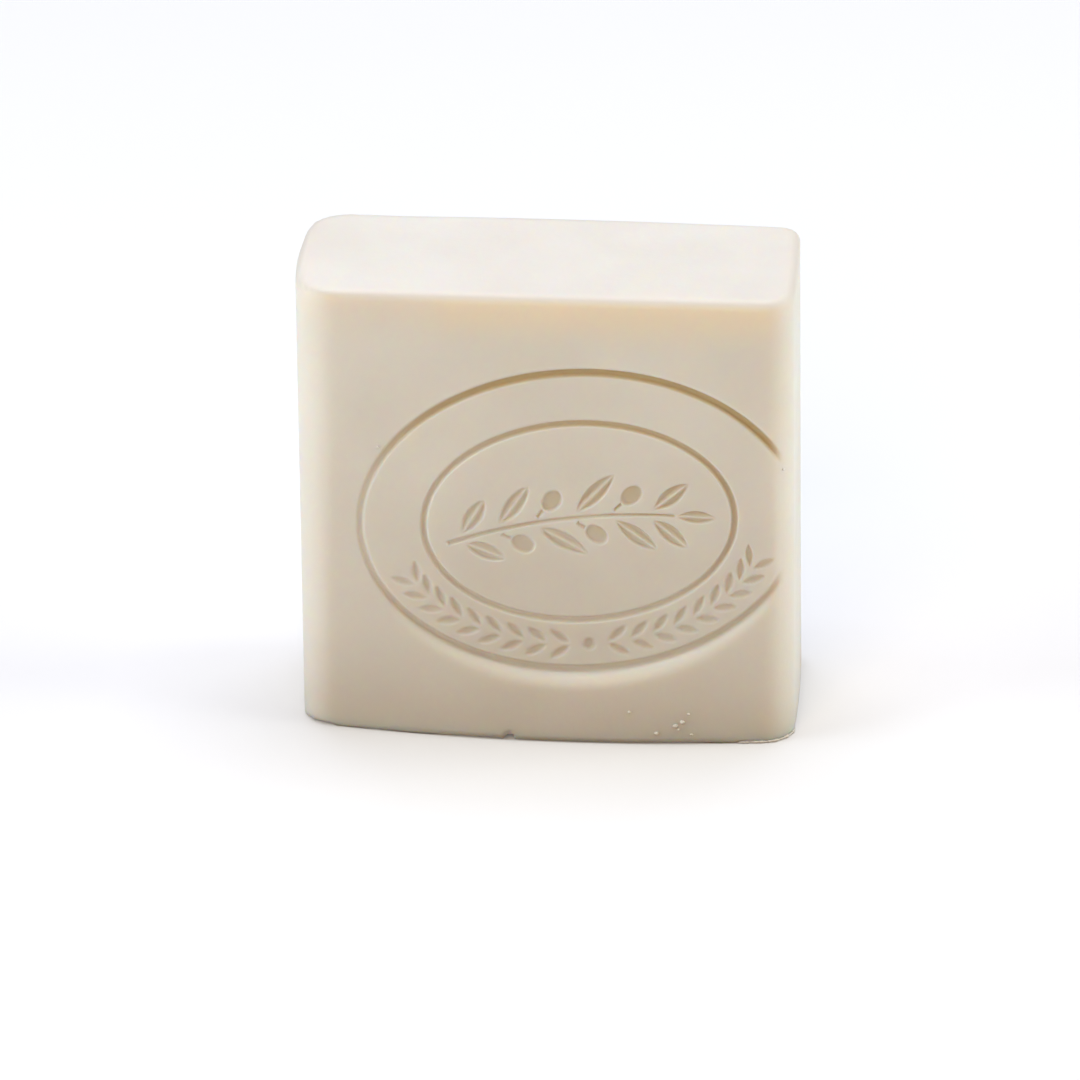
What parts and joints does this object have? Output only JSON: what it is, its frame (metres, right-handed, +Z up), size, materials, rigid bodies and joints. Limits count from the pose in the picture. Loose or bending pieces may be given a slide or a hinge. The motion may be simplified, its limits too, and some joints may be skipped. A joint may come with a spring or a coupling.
{
  "type": "bar of soap",
  "caption": "Ivory bar of soap cut from a cast strip, with soft rounded edges, a shallow oval press mark holding an olive sprig on the front, and a flat cut end to stand on",
  "frame": {"origin": "centre of the footprint, on the cut end the bar stands on", "axes": "+Z up through the standing bar, -Y out of the stamped front, +X to the right as seen from the front"},
  "size_m": [0.0746, 0.0346, 0.07],
  "materials": {
    "soap": "satin, slightly waxy, faintly translucent"
  },
  "bodies": {
    "root": {"soap_bar": "soap"}
  },
  "joints": []
}
